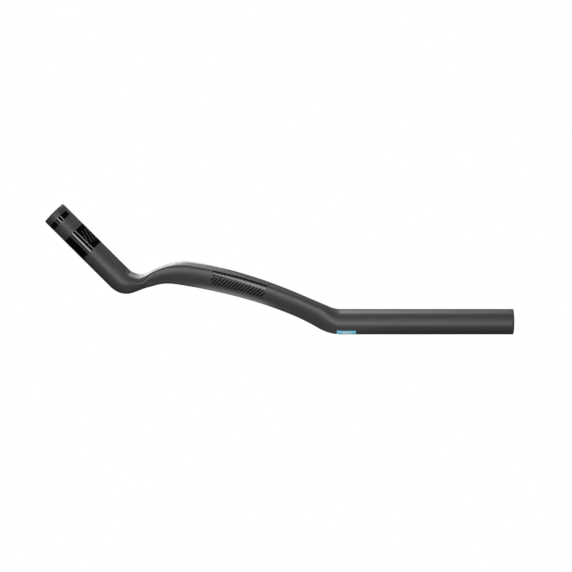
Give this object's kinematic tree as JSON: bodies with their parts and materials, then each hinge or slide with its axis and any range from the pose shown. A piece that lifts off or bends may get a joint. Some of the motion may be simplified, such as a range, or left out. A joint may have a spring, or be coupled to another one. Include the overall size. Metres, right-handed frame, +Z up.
{
  "type": "aero handlebar extension",
  "caption": "Hollow moulded bicycle aero bar extension: round straight clamp length, palm hump, flat neck and upturned round tip, open at both ends for cables and a shifter.",
  "frame": {"origin": "on the clamp axis, halfway along the straight clamp length", "axes": "+X along the clamp axis out of the rear opening, +Z up; the bar's mid-plane is XZ and the upturned tip lies towards -X"},
  "size_m": [0.4081, 0.027, 0.1138],
  "materials": {
    "composite_shell": "satin charcoal clear coat over carbon-fibre composite",
    "label_film": "plain blue printed film",
    "gloss_lacquer": "gloss black lacquer of the band and marks",
    "grey_print": "thin grey printed lines"
  },
  "bodies": {
    "root": {"extension_bar": "composite_shell"}
  },
  "joints": []
}
